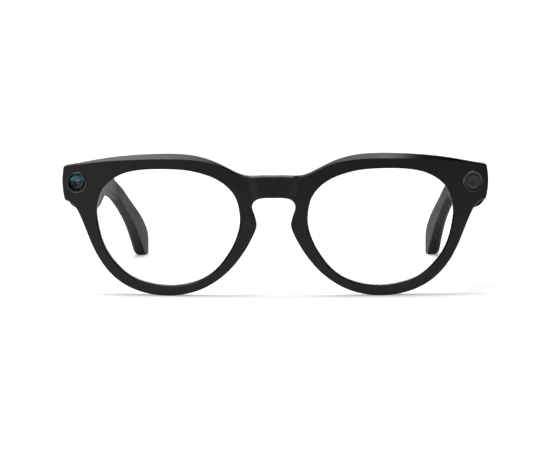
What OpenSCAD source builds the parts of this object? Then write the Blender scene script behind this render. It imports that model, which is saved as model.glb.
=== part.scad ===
// Smart glasses: a full-rim front with a camera and an indicator light at its ends,
// and two folding hollow temples that hold the electronics.
// +Z is up, the front faces -Y, the wearer's right side is at -X.

/* [Front] */
// Radius of the curve that the front is bent to
wrap_r = 320; // [300:5:360]
// Thickness of the front
front_t = 4.6; // [4.4:0.1:5]
// How far the bridge stands forward of the rims
bridge_lift = 0.8; // [0.4:0.1:1.2]
// Height on the front face where the brow bevel starts
bevel_z = 47.8; // [47.4:0.1:48.6]

/* [Lenses] */
// Lens thickness
lens_t = 2; // [1.6:0.1:2.1]
// Distance from the front face back to the lens
lens_inset = 1.3; // [1.1:0.1:1.4]
// How deep the lens edge sits in its groove
groove_d = 0.7; // [0.5:0.05:0.75]

/* [Camera and light] */
// Distance of the camera and the light from the middle
eye_x = 69.8; // [69.4:0.1:70.2]
// Height of the camera and the light
eye_z = 40; // [39.6:0.1:40.4]
// Outer diameter of both bezels
bezel_d = 7.4; // [7:0.1:7.6]
// Diameter of the glass over the camera
window_d = 6.2; // [5.8:0.1:6.2]
// Diameter of the light's diffuser
diffuser_d = 5.7; // [5.4:0.1:5.9]

/* [Hinges] */
// Distance of the hinge pins from the middle
hinge_x = 63.5; // [63.3:0.1:63.7]
// Hinge pin diameter
pin_d = 1.4; // [1.2:0.1:1.5]
// Outer diameter of the hinge knuckles
knuckle_d = 3.2; // [3:0.1:3.3]

/* [Temples] */
// Distance from the bridge to the temple tips
temple_len = 147.4; // [145:0.2:148.4]
// Wall of the hollow temple shell
shell_wall = 1.3; // [1.1:0.1:1.4]
// Thickness of the inner temple cover
cover_t = 1.2; // [1:0.1:1.3]

/* [Controls] */
// Travel of the capture button
button_travel = 0.4; // [0.3:0.05:0.5]
// Travel of the power slider
slider_travel = 1.8; // [1.2:0.1:2]

/* [Hidden] */
$fn = 64;

bend_fn = 360;          // facets of the large bending curves
gap = 0.05;             // assembly gap between fixed pieces
run_gap = 0.15;         // gap between pieces that move
mid_y = (temple_len - bridge_lift) / 2;

// Half outline of the front, from the top of the bridge round to its underside
outline_half = [[0, 42.6], [3.5, 42.6], [7, 42.4], [10, 42.5], [13, 43.4], [16, 44.9], [19, 46.4],
    [22, 47.7], [25.5, 48.8], [29.5, 49.6], [34, 50], [39, 50.1], [45, 49.95], [51, 49.6],
    [57, 49.05], [63, 48.2], [68.5, 47.2], [72.4, 46.4], [74.3, 45.7], [75, 44], [75.1, 41],
    [74.9, 37.6], [74.4, 35], [73.4, 33.7], [71.8, 32.9], [70.2, 31.1], [68.7, 28.2],
    [67.2, 24.6], [65.7, 20.8], [64, 16.9], [61.9, 13.1], [59.4, 9.6], [56.4, 6.5], [52.9, 4],
    [49, 2.1], [45, 0.9], [41, 0.2], [37, 0], [33, 0.3], [29, 1.1], [25.2, 2.4], [21.6, 4.3],
    [18.3, 6.6], [15.3, 9.3], [12.7, 12.3], [10.5, 15.3], [8.7, 18.3], [7.2, 21.4], [6.2, 24.6],
    [6.8, 28], [7.8, 30.9], [7.2, 33], [5.4, 34.3], [2.7, 34.7], [0, 34.7]];

// Lens opening on the wearer's left side
opening = [[12, 28], [13.4, 34.3], [17.1, 39], [22.5, 42.1], [30, 44.2], [38.5, 44.9],
    [47.5, 44.6], [54.3, 43], [59.8, 39], [62.3, 33], [62.5, 27], [60.1, 18], [55.3, 11],
    [48.5, 6], [38, 3.7], [28.1, 5], [20.9, 9], [15.4, 16], [12.6, 22.5]];

// Middle line of the wiring channel, from the bridge out to the end piece
channel_line = [[0, 38.7], [6, 38.7], [10, 39], [14, 40.9], [18, 43.3], [22, 45.3], [27, 46.7],
    [35, 47.45], [45, 47.3], [54, 46.2], [60, 43.9], [64, 41.7], [67.5, 40.2]];
channel_w = 2.4;
channel_d = 2.2;
lid_t = 1;
lid_w = 3.4;

// Temple stations: distance back from the bridge, then the value there
temple_y = 20.1;        // front end of the temples
butt_y = 19.8;          // back end of the end pieces
bend_y = 90;
station_step = 3.5;
tip_k = (temple_len - bend_y) / (147.4 - bend_y);
top_line = [[20, 45.5], [40, 43.8], [60, 41.6], [72, 39.6], [80, 37.9], [88, 35.4], [100, 31.3],
    [110, 27.1], [120, 23], [130, 18.7], [138, 14.5], [143, 11.2], [146, 7.6], [147.4, 3]];
low_line = [[20, 28.5], [33, 28.8], [45, 30.8], [55, 31.9], [68, 31.8], [80, 30.2], [88, 28.7],
    [94, 27], [100, 24.2], [110, 19.2], [120, 13.8], [130, 6.8], [136, 2.3], [139.5, 0],
    [147.4, 0]];
inner_line = [[20, 64.5], [30, 64.5], [40, 64.8], [53, 65.3], [66, 65.9], [78, 66.1], [88, 65.5],
    [100, 64.1], [110, 63.1], [120, 62.2], [130, 61.3], [140, 60.5], [147.4, 60]];
outer_line = [[20, 75.1], [40, 75], [60, 74.4], [72, 73.6], [80, 72.6], [88, 71.3], [100, 68.7],
    [110, 67.3], [120, 66.3], [130, 65.4], [140, 64.7], [147.4, 64.2]];

cavity_front = 35;
cavity_back = 86;
cover_front = 34;
cover_back = 88;
cover_rim = 0.9;        // shell left showing around the cover
corner_cut = 3.6;       // chamfer on the lower outer edge of the temples

hinge_y = 22;
hinge_low = 34;
hinge_high = 42;
knuckle_low = 36.6;
knuckle_high = 39.4;
plate_t = 1.4;
end_x = 64.6;           // inner face of the end pieces
leaf_x = 64.5;
screw_d = 1.4;
head_d = 2.4;

button_y = 42;
button_z = 43.6;        // top of the temple at the button
stem_end = 1.9;
slider_y = 40;
slider_z = 37;
speaker_y = 74;

// ---- curve functions ----

// Point on a smooth curve through a, b, c, d, between b and c
function blend_point(a, b, c, d, t) =
    b + t / 2 * (c - a + t * (2 * a - 5 * b + 4 * c - d + t * (3 * b - 3 * c + d - a)));

// Smooth closed outline through the given points
function closed_curve(p, steps) = let (n = len(p)) [
    for (i = [0 : n - 1], k = [0 : steps - 1])
        blend_point(p[(i + n - 1) % n], p[i], p[(i + 1) % n], p[(i + 2) % n], k / steps)];

// Smooth open line through the given points
function open_curve(p, steps) = let (n = len(p)) concat([
    for (i = [0 : n - 2], k = [0 : steps - 1])
        blend_point(p[max(i - 1, 0)], p[i], p[i + 1], p[min(i + 2, n - 1)], k / steps)], [p[n - 1]]);

function flipped(p) = [for (i = [len(p) - 1 : -1 : 0]) [-p[i][0], p[i][1]]];

// Unit vector to the left of the way from a to b
function left_of(a, b) = [a[1] - b[1], b[0] - a[0]] / norm(b - a);

// Closed outline moved outward by d; it runs clockwise
function grown(p, d) = let (n = len(p)) [
    for (i = [0 : n - 1]) p[i] + d * left_of(p[(i + n - 1) % n], p[(i + 1) % n])];

// Strip of width w along an open line
function strip(p, w) = let (n = len(p)) concat(
    [for (i = [0 : n - 1]) p[i] + w / 2 * left_of(p[max(i - 1, 0)], p[min(i + 1, n - 1)])],
    [for (i = [n - 1 : -1 : 0]) p[i] - w / 2 * left_of(p[max(i - 1, 0)], p[min(i + 1, n - 1)])]);

// Value at s of the smooth curve through stations [s, value]
function span_at(p, s, i = 0) = i >= len(p) - 2 || s < p[i + 1][0] ? i : span_at(p, s, i + 1);
function grade(p, i) = let (a = max(i - 1, 0), b = min(i + 1, len(p) - 1))
    (p[b][1] - p[a][1]) / (p[b][0] - p[a][0]);
function value_at(p, s) = let (i = span_at(p, s), h = p[i + 1][0] - p[i][0], t = (s - p[i][0]) / h)
    p[i][1] * (1 + 2 * t) * (1 - t) ^ 2 + p[i + 1][1] * t ^ 2 * (3 - 2 * t)
    + h * (grade(p, i) * t * (1 - t) ^ 2 - grade(p, i + 1) * t ^ 2 * (1 - t));
function stretched(p) = [for (q = p) [q[0] < bend_y ? q[0] : bend_y + (q[0] - bend_y) * tip_k, q[1]]];

function moved(p, d) = [for (q = p) [q[0], q[1] + d]];

// Outline between two station curves from y = a to b, as [y, value], never below zero
function between(low, high, a, b) = let (n = ceil((b - a) / station_step)) concat(
    [for (i = [0 : n]) let (y = a + (b - a) * i / n) [y, max(0, value_at(low, y))]],
    [for (i = [n : -1 : 0]) let (y = a + (b - a) * i / n) [y, value_at(high, y)]]);
function swapped(p) = [for (q = p) [q[1], q[0]]];

opening_curve = closed_curve(opening, 4);
half_curve = open_curve(outline_half, 3);
front_outline = concat(half_curve, flipped(half_curve));
channel_full = open_curve(concat(flipped(channel_line), [for (i = [1 : len(channel_line) - 1])
    channel_line[i]]), 3);
tops = stretched(top_line);
lows = stretched(low_line);
inners = stretched(inner_line);
outers = stretched(outer_line);

// ---- helpers ----

// Puts a piece in the part's own frame; side -1 mirrors it to the wearer's right
module placed(side = 1) {
    translate([0, -mid_y, 0])
        if (side < 0) mirror([1, 0, 0]) children();
        else children();
}

// An outline in X and Z, extruded from y = a back to y = b
module upright(points, a, b) {
    translate([0, b, 0]) rotate([90, 0, 0]) linear_extrude(b - a) polygon(points);
}

// Part of a bent layer between two depths behind the front face
module layer(near, far, low = -2, high = 54) {
    translate([0, wrap_r, low]) difference() {
        cylinder(r = wrap_r - near, h = high - low, $fn = bend_fn);
        translate([0, 0, -1]) cylinder(r = wrap_r - far, h = high - low + 2, $fn = bend_fn);
    }
}

// Round space between two depths behind the front face, bent both ways
module lens_layer(near, far) {
    translate([0, wrap_r, 24]) difference() {
        sphere(r = wrap_r - near, $fn = bend_fn);
        sphere(r = wrap_r - far, $fn = bend_fn);
    }
}

// Child axes at the camera or the light: +Z points out of the front face
module at_eye(depth = 0) {
    tilt = asin(eye_x / wrap_r);
    translate([eye_x, wrap_r - wrap_r * cos(tilt), eye_z])
        rotate([0, 0, tilt]) rotate([90, 0, 0]) translate([0, 0, -depth]) children();
}

// A disc or ring at the eye, from depth a to depth b
module eye_ring(a, b, outer, inner = 0) {
    at_eye(b) difference() {
        cylinder(d = outer, h = b - a);
        if (inner > 0) translate([0, 0, -1]) cylinder(d = inner, h = b - a + 2);
    }
}

// Temple space between y = a and b, under, over, inside and outside the given station curves
module temple_space(a, b, low, high, inner, outer) {
    intersection() {
        translate([50, 0, 0]) rotate([90, 0, 90]) linear_extrude(35) polygon(between(low, high, a, b));
        translate([0, 0, -5]) linear_extrude(60) polygon(swapped(between(inner, outer, a, b)));
    }
}

// Box given by its lowest corner and its highest corner
module span_box(a, b) {
    translate(a) cube(b - a);
}

// ---- front ----

// The solid of the front before anything is cut into it
module front_blank() {
    intersection() {
        upright(front_outline, -5, 30);
        union() {
            layer(0, front_t);
            linear_extrude(60) polygon([[-9.5, 2], [-9.5, 0.15], [-5.5, -bridge_lift],
                [5.5, -bridge_lift], [9.5, 0.15], [9.5, 2]]);
        }
        // cuts the raised bridge off the rims below it
        union() {
            translate([-10, -5, 32]) cube([20, 20, 20]);
            translate([0, wrap_r, -2]) cylinder(r = wrap_r, h = 60, $fn = bend_fn);
        }
    }
}

// Block that carries one hinge, behind the end of the front
module end_block() {
    intersection() {
        upright([[60, 46.4], [73.2, 46], [74.6, 45.2], [75.1, 43], [75.1, 37], [74.3, 34.5],
            [72.8, 33.6], [60, 33.6]], 5, butt_y);
        linear_extrude(60) polygon([[60.6, 8.5], [64, 7.2], [75.1, 9.2], [75.1, butt_y],
            [end_x, butt_y], [end_x, 14.6], [63.6, 12.8]]);
    }
}

module front_frame() {
    color("dimgray") placed() difference() {
        union() {
            front_blank();
            end_block();
            mirror([1, 0, 0]) end_block();
        }
        for (s = [0, 1]) mirror([s, 0, 0]) {
            upright(opening_curve, -5, 30);
            intersection() {
                upright(grown(opening_curve, groove_d + gap), -5, 30);
                lens_layer(lens_inset - gap, lens_inset + lens_t + gap);
            }
            eye_ring(-2, 1.2 + gap, bezel_d + 2 * gap);
            eye_ring(1, 5.4, 6);
            // seat of the hinge bracket and its screws
            span_box([end_x - 3, 14.2 - gap, hinge_low - gap],
                [end_x + plate_t + gap, butt_y + 1, hinge_high + gap]);
            for (z = [35.7, 40.3])
                translate([60, 16.6, z]) rotate([0, 90, 0]) cylinder(d = screw_d + 2 * gap, h = 9.4);
        }
        // wiring channel and the seat of its lid, open to the back
        intersection() {
            upright(strip(channel_full, channel_w), -5, 30);
            layer(front_t - channel_d, front_t + 0.2);
        }
        intersection() {
            upright(strip(channel_full, lid_w + 2 * gap), -5, 30);
            layer(front_t - lid_t - gap, front_t + 3);
            translate([-60.2, -5, 0]) cube([120.4, 20, 60]);
        }
        // bevel along the brow
        for (s = [-1, 1]) translate([s * 42, 2.8, bevel_z]) rotate([45, 0, s * 7.5])
            translate([-24, -8, 0]) cube([48, 13, 8]);
    }
}

module brow_cover() {
    color("dimgray") placed() difference() {
        intersection() {
            upright(strip(channel_full, lid_w), -5, 30);
            layer(front_t - lid_t, front_t);
            translate([-60, -5, 0]) cube([120, 20, 60]);
        }
        for (s = [-1, 1]) span_box([s * 2.4 - 1.1, 0, 37.9], [s * 2.4 + 1.1, 8, 39.5]);
    }
}

module front_flex() {
    color("goldenrod") placed() intersection() {
        upright(strip(channel_full, channel_w - 0.6), -5, 30);
        layer(front_t - channel_d + 0.1, front_t - channel_d + 0.35);
        translate([-65.6, -5, 0]) cube([131.2, 20, 60]);
    }
}

module charge_board() {
    color("darkgreen") placed() intersection() {
        span_box([-4.6, 0, 37.7], [4.6, 8, 39.7]);
        layer(front_t - 1.8, front_t - 1.3);
    }
}

module charge_pads() {
    color("gold") placed() intersection() {
        for (s = [-1, 1]) span_box([s * 2.4 - 1.05, 0, 37.95], [s * 2.4 + 1.05, 8, 39.45]);
        layer(front_t - 1.3, front_t);
    }
}

module lens(side) {
    color("lightcyan") placed(side) intersection() {
        upright(grown(opening_curve, groove_d), -5, 30);
        lens_layer(lens_inset, lens_inset + lens_t);
    }
}

module nose_pad(side) {
    color("dimgray") placed(side) intersection() {
        translate([11.2, 0, 19.4]) rotate([0, -27, 0]) intersection() {
            translate([-5, 0, 0]) rotate([90, 0, 90]) linear_extrude(10)
                polygon(open_curve([[3, -8.2], [5.4, -7.6], [8.2, -5], [10.4, -0.5], [10.9, 2.4],
                    [9.6, 5.4], [6.6, 7.6], [3, 8.4]], 4));
            translate([0, 0, -10]) linear_extrude(20)
                polygon([[-2.1, 3], [2.2, 3], [3.6, 11.5], [2.2, 11.5]]);
        }
        translate([0, wrap_r, 0]) cylinder(r = wrap_r - front_t - 0.02, h = 40, $fn = bend_fn);
    }
}

// ---- camera and light ----

module camera_bezel() {
    color("dimgray") placed(-1) eye_ring(0, 1.2, bezel_d, window_d + 2 * gap);
}

module camera_window() {
    color("darkslategray") placed(-1) eye_ring(0.25, 0.95, window_d);
}

module camera_barrel() {
    color("black") placed(-1) eye_ring(1.45, 3.9, 5.4, 3.2);
}

module camera_lens() {
    color("lightsteelblue") placed(-1) at_eye(3.2) intersection() {
        cylinder(d = 3.1, h = 1.6);
        translate([0, 0, -1.5]) sphere(d = 6, $fn = 128);
    }
}

module camera_sensor() {
    color("darkgreen") placed(-1) at_eye(5.2) {
        translate([-1.9, -1.9, 0]) cube([3.8, 3.8, 0.8]);
        translate([-1.3, -1.3, 0.8]) cube([2.6, 2.6, 0.45]);
    }
}

module light_bezel() {
    color("dimgray") placed() eye_ring(0, 1.2, bezel_d, diffuser_d + 2 * gap);
}

module light_diffuser() {
    color("gray") placed() eye_ring(0.35, 1.15, diffuser_d);
}

module light_board() {
    color("white") placed() at_eye(2.9) {
        cylinder(d = 5.4, h = 0.8);
        for (a = [0 : 120 : 240]) rotate([0, 0, a]) translate([1.1, -0.5, 0.8]) cube([1, 1, 0.4]);
    }
}

// ---- hinges ----

module at_pin(z = 0) {
    translate([hinge_x, hinge_y, z]) children();
}

module hinge_bracket(side) {
    color("silver") placed(side) difference() {
        union() {
            span_box([end_x, 14.2, hinge_low], [end_x + plate_t, butt_y - 0.1, hinge_high]);
            for (z = [[hinge_low, knuckle_low - run_gap], [knuckle_high + run_gap, hinge_high]]) {
                at_pin(z[0]) cylinder(d = knuckle_d, h = z[1] - z[0]);
                span_box([hinge_x - 0.8, 16.5, z[0]], [hinge_x + 0.8, hinge_y, z[1]]);
                span_box([hinge_x - 0.8, 15, z[0]], [end_x + plate_t / 2, 19.2, z[1]]);
            }
        }
        at_pin(hinge_low - 1) cylinder(d = pin_d + 0.04, h = 12);
        for (z = [35.7, 40.3]) translate([end_x - 3, 16.6, z]) rotate([0, 90, 0]) {
            cylinder(d = head_d + 2 * gap, h = 3.6);
            cylinder(d = screw_d + 2 * gap, h = 9);
        }
    }
}

module bracket_screws(side) {
    color("gray") placed(side) {
        for (z = [35.7, 40.3]) translate([end_x, 16.6, z]) rotate([0, 90, 0]) difference() {
            union() {
                translate([0, 0, -0.1]) cylinder(d = head_d, h = 0.7);
                cylinder(d = screw_d, h = 4.6);
            }
            for (a = [45, 135]) rotate([0, 0, a]) translate([-0.8, -0.15, -1]) cube([1.6, 0.3, 1.3]);
        }
    }
}

module hinge_pin(side) {
    color("gray") placed(side) {
        at_pin(hinge_low - 0.1) cylinder(d = pin_d, h = hinge_high - hinge_low + 0.1);
        at_pin(hinge_high) cylinder(d = pin_d + 1, h = 0.5);
    }
}

module hinge_leaf(side) {
    color("silver") placed(side) difference() {
        union() {
            span_box([leaf_x + 0.1, hinge_y + 2.2, hinge_low],
                [leaf_x + 0.1 + plate_t, 33, hinge_high]);
            at_pin(knuckle_low) cylinder(d = knuckle_d, h = knuckle_high - knuckle_low);
            span_box([hinge_x + 0.1, hinge_y, knuckle_low],
                [hinge_x + 1.6, hinge_y + 3.6, knuckle_high]);
        }
        at_pin(hinge_low - 1) cylinder(d = pin_d + 0.04, h = 12);
        for (y = [27.4, 31]) translate([leaf_x - 1, y, 38]) rotate([0, 90, 0]) {
            cylinder(d = head_d + 2 * gap, h = 1.8);
            cylinder(d = screw_d + 2 * gap, h = 9);
        }
    }
}

module leaf_screws(side) {
    color("gray") placed(side) {
        for (y = [27.4, 31]) translate([leaf_x + 0.1, y, 38]) rotate([0, 90, 0]) difference() {
            union() {
                cylinder(d = head_d, h = 0.7);
                cylinder(d = screw_d, h = 4.6);
            }
            for (a = [45, 135]) rotate([0, 0, a]) translate([-0.8, -0.15, -1]) cube([1.6, 0.3, 1.3]);
        }
    }
}

// ---- temples ----

// Outer shell of a temple, before its own controls are cut
module temple_shell() {
    difference() {
        temple_space(temple_y, temple_len, lows, tops, inners, outers);
        // seat of the cover, then the hollow behind it
        temple_space(cover_front, cover_back, moved(lows, cover_rim - gap),
            moved(tops, gap - cover_rim), moved(inners, -2), moved(inners, cover_t + gap));
        temple_space(cavity_front, cavity_back, moved(lows, shell_wall), moved(tops, -shell_wall),
            moved(inners, cover_t / 2), moved(outers, -shell_wall));
        // chamfer on the lower outer edge
        translate([75.1 - corner_cut, 10, 28.5]) rotate([0, -45, 0]) translate([0, 0, -10])
            cube([20, 60, 10]);
        // swing room for the hinge knuckles, seat of the leaf and its screws
        at_pin(hinge_low - 0.8) cylinder(d = knuckle_d + 0.8, h = hinge_high - hinge_low + 1.6);
        span_box([leaf_x - 3, hinge_y, hinge_low - gap],
            [leaf_x + 0.1 + plate_t + gap, 33 + gap, hinge_high + gap]);
        for (y = [27.4, 31])
            translate([leaf_x, y, 38]) rotate([0, 90, 0]) cylinder(d = screw_d + 2 * gap, h = 4.9);
        // slots below the speaker and the hole of the microphone
        for (i = [-2 : 2])
            span_box([68.6, speaker_y + 2 * i - 0.5, 28], [71, speaker_y + 2 * i + 0.5, 33.8]);
        translate([70, 49, 28]) cylinder(d = 0.9, h = 5.6, $fn = 24);
    }
}

module right_temple_shell() {
    color("dimgray") placed(-1) difference() {
        temple_shell();
        translate([70, button_y, button_z - 4]) linear_extrude(9) button_shape(0.12);
    }
}

module left_temple_shell() {
    color("dimgray") placed() temple_shell();
}

// Inner wall of the hollow part of a temple
module temple_cover() {
    temple_space(cover_front + gap, cover_back - gap, moved(lows, cover_rim),
        moved(tops, -cover_rim), inners, moved(inners, cover_t));
}

module right_temple_cover() {
    color("gray") placed(-1) temple_cover();
}

module left_temple_cover() {
    color("gray") placed() difference() {
        temple_cover();
        span_box([60, slider_y - 2.4, slider_z - 1.1],
            [70, slider_y + 1.4 + slider_travel, slider_z + 1.1]);
    }
}

// ---- electronics of the right temple ----

module main_board() {
    color("darkgreen") placed(-1) span_box([68.6, 38, 33.6], [69.4, 66.5, 39]);
}

module chip_shield() {
    color("silver") placed(-1) span_box([67.3, 48.4, 34.2], [68.55, 63, 38.6]);
}

module touch_sensor() {
    color("orange") placed(-1) temple_space(40, 72, moved(lows, 3), moved(tops, -3),
        moved(outers, -shell_wall - 0.4), moved(outers, -shell_wall - 0.1));
}

module wifi_antenna() {
    color("khaki") placed(-1) span_box([68.4, 80.4, 32], [68.9, 85, 34.6]);
}

module speaker(side) {
    color("black") placed(side) span_box([68.3, speaker_y - 5.4, 33.7], [71.2, speaker_y + 5.4, 36.4]);
}

module speaker_mesh(side) {
    color("dimgray") placed(side) span_box([68.3, speaker_y - 5, 33.25], [71.2, speaker_y + 5, 33.6]);
}

module microphone(side) {
    color("silver") placed(side) span_box([69.7, 47.4, 32.8], [71.6, 50.6, 33.5]);
}

module button_shape(grow = 0) {
    for (s = [-1, 1]) translate([0, s * 3]) circle(d = 3.4 + 2 * grow);
    square([3.4 + 2 * grow, 6], center = true);
}

module capture_button() {
    color("darkgray") placed(-1) translate([70, button_y, button_z]) {
        translate([0, 0, -1.15]) linear_extrude(1.65) button_shape();
        translate([0, 0, -stem_end]) cylinder(d = 1.6, h = stem_end - 1);
    }
}

module button_switch() {
    color("black") placed(-1) translate([70, button_y, button_z - stem_end - button_travel - 0.1]) {
        translate([-1.6, -1.6, -1]) cube([3.2, 3.2, 0.7]);
        translate([0, 0, -0.4]) cylinder(d = 1.4, h = 0.4);
    }
}

// ---- electronics of the left temple ----

module battery() {
    color("steelblue") placed() span_box([68.2, 45.2, 33.8], [72.4, 67.6, 38.8]);
}

module battery_board() {
    color("darkgreen") placed() span_box([68.3, 44, 33.8], [72, 45, 38.8]);
}

module power_slider() {
    color("darkgray") placed() {
        span_box([63.9, slider_y - 2, slider_z - 0.9], [66.8, slider_y + 1, slider_z + 0.9]);
        span_box([66.3, slider_y - 2.8, slider_z - 1.9], [66.8, slider_y + 1.8, slider_z + 1.9]);
    }
}

module slider_switch() {
    color("black") placed() span_box([67.1, slider_y - 3, slider_z - 2.2],
        [68.6, slider_y + 3, slider_z + 2.2]);
}

front_frame();
brow_cover();
front_flex();
charge_board();
charge_pads();
lens(-1);  // right_lens
lens(1);  // left_lens
nose_pad(-1);  // right_nose_pad
nose_pad(1);  // left_nose_pad
camera_bezel();
camera_window();
camera_barrel();
camera_lens();
camera_sensor();
light_bezel();
light_diffuser();
light_board();
hinge_bracket(-1);  // right_hinge_bracket
hinge_bracket(1);  // left_hinge_bracket
bracket_screws(-1);  // right_bracket_screws
bracket_screws(1);  // left_bracket_screws
hinge_pin(-1);  // right_hinge_pin
hinge_pin(1);  // left_hinge_pin
right_temple_shell();
right_temple_cover();
hinge_leaf(-1);  // right_hinge_leaf
leaf_screws(-1);  // right_leaf_screws
main_board();
chip_shield();
touch_sensor();
wifi_antenna();
speaker(-1);  // right_speaker
speaker_mesh(-1);  // right_speaker_mesh
microphone(-1);  // right_microphone
capture_button();
button_switch();
left_temple_shell();
left_temple_cover();
hinge_leaf(1);  // left_hinge_leaf
leaf_screws(1);  // left_leaf_screws
battery();
battery_board();
speaker(1);  // left_speaker
speaker_mesh(1);  // left_speaker_mesh
microphone(1);  // left_microphone
power_slider();
slider_switch();
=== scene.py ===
import math

import bmesh
import bpy
from mathutils import Matrix, Vector


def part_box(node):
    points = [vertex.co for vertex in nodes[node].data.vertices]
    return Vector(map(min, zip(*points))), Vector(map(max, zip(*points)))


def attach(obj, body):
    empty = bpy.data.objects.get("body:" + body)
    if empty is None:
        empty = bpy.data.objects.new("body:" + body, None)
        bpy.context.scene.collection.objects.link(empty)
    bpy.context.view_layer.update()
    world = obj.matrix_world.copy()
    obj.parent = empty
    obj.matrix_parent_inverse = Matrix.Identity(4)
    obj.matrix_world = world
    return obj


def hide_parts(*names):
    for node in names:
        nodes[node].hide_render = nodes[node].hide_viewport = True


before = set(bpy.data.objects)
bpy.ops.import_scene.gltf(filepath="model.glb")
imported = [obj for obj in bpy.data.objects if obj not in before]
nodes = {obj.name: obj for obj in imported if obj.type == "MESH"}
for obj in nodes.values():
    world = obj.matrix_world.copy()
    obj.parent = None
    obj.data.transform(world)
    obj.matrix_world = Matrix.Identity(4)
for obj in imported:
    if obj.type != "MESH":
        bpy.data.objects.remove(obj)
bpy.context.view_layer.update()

mm = 0.001
scene = bpy.context.scene

# sizes are in mm: x from the middle, y back from the front face, z up

glasses = {
    "wrapRadius": 320.0,
    "frontThickness": 4.6,
    "bridgeLift": 0.8,
    "eyeX": 69.8,
    "eyeZ": 39.6,
    "hingeX": 63.5,
    "hingeY": 22.0,
    "templeFront": 20.1,
    "templeBack": 147.4,
}
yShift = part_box("front_frame")[0].y / mm + glasses["bridgeLift"]

shot = {
    "eye": (24.0, -640.0, 82.0),     # mm, y from the front face
    "aim": (0.46, 0.0, 25.07),
    "lens": 120.98,
    "roll": -0.36,
}

# the front is drawn flat, as it looks from the eye, and laid on its curve further down
flatView = {
    "distance": 651.0,    # from the eye to the drawing, along the line of sight
    "centre": (0.25, 24.75),
    "passes": 6,
}
flatOutline = [
    (0, 42.35), (3.5, 42.4), (7, 42.25), (10, 42.4), (13, 43.4), (16, 44.9), (19, 46.4),
    (22, 47.7), (25.5, 48.8), (29.5, 49.6), (34, 50), (39, 50.1), (45, 49.95), (51, 49.6),
    (57, 49.05), (63, 48.2), (68.5, 47.2), (72.4, 46.5), (74.0, 46.1), (74.6, 45.6), (74.85, 43.9),
    (75.1, 41), (74.9, 37.6), (74.4, 34.8), (73.9, 33.9), (71.8, 32.9), (70.2, 31.1), (68.7, 28.2),
    (67.2, 24.6), (65.7, 20.8), (64, 16.9), (61.9, 13.1), (59.4, 9.6), (56.4, 6.5), (52.9, 4),
    (49, 2.1), (45, 0.9), (41, 0.2), (37, 0), (33, 0.3), (29, 1.1), (25.2, 2.4), (21.6, 4.3),
    (18.3, 6.6), (15.3, 9.3), (12.7, 12.3), (10.5, 15.3), (8.7, 18.3), (7.1, 21.4), (6.05, 24.6),
    (6.7, 28), (7.6, 30.7), (7.1, 32.7), (5.4, 33.95), (2.7, 34.35), (0, 34.35),
]
flatOpening = [
    (12, 28), (13.4, 34.3), (17.1, 38.9), (22.5, 42), (30, 44.05), (38.5, 44.7), (47.5, 44.4),
    (54.3, 42.8), (59.8, 38.9), (62.3, 33), (62.5, 27), (60.1, 18), (55.3, 11), (48.5, 6), (38, 3.7),
    (28.1, 5), (20.9, 9), (15.4, 16), (12.6, 22.5),
]
# which place on the lens opening faces each place on the outline
rimPairs = [
    (0, 1.55), (3, 1.75), (5, 2.2), (7, 3.0), (9, 3.9), (11, 5.0), (13, 6.4), (15, 7.5), (17, 8.0),
    (19, 8.3), (20, 8.55), (22, 8.9), (24, 9.3), (26.5, 9.85), (29, 10.6), (31, 11.35),
    (33, 12.25), (35, 13.05), (38, 14.05), (40.5, 14.95), (42.5, 15.65), (44.5, 16.6),
    (46.5, 17.3), (48, 17.95), (49, 18.35), (50, 18.9), (51, 19.3), (52, 19.6), (53, 19.85),
    (55, 20.1),
]
channelLine = [
    (0, 38.7), (6, 38.7), (10, 39), (14, 40.9), (18, 43.3), (22, 45.3), (27, 46.7), (35, 47.45),
    (45, 47.3), (54, 46.2), (60, 43.9), (64, 41.7), (67.5, 40.2),
]
templeTop = [
    (20, 44.95), (30, 44.55), (40, 43.8), (60, 41.6), (72, 39.6), (80, 37.9), (88, 35.4), (100, 31.3),
    (110, 27.1), (120, 23), (130, 18.7), (138, 14.5), (143, 11.2), (146, 7.6), (147.4, 3),
]
templeLow = [
    (20, 29.2), (33, 29.3), (45, 30.8), (55, 31.9), (68, 31.8), (80, 30.2), (88, 28.7), (94, 27),
    (100, 24.2), (110, 19.2), (120, 13.8), (130, 6.8), (136, 2.3), (139.5, 0), (147.4, 0),
]
templeInner = [
    (20, 64.5), (30, 64.5), (40, 64.8), (53, 65.3), (66, 65.9), (78, 66.1), (88, 65.5),
    (100, 64.1), (110, 63.0), (120, 61.8), (130, 60.6), (140, 59.5), (147.4, 58.9),
]
templeOuter = [
    (20, 75.1), (40, 75), (60, 74.4), (72, 73.6), (80, 72.6), (88, 71.3), (100, 68.7),
    (110, 67.3), (120, 66.3), (130, 65.4), (140, 64.7), (147.4, 64.2),
]


def blendPoint(a, b, c, d, t):
    return tuple(
        q + t / 2 * (r - p + t * (2 * p - 5 * q + 4 * r - s + t * (3 * q - 3 * r + s - p)))
        for p, q, r, s in zip(a, b, c, d)
    )


def onClosed(points, u):
    n = len(points)
    i = int(math.floor(u))
    return blendPoint(*(points[(i + k) % n] for k in (-1, 0, 1, 2)), u - i)


def onOpen(points, u):
    n = len(points)
    i = min(max(int(math.floor(u)), 0), n - 2)
    return blendPoint(*(points[min(max(i + k, 0), n - 1)] for k in (-1, 0, 1, 2)), u - i)


def outwardAt(curve, points, u):
    # both outlines run clockwise, so outward is to the left of the way along
    ax, az = curve(points, u - 0.02)
    bx, bz = curve(points, u + 0.02)
    length = math.hypot(bx - ax, bz - az) or 1.0
    return (az - bz) / length, (bx - ax) / length


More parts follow.
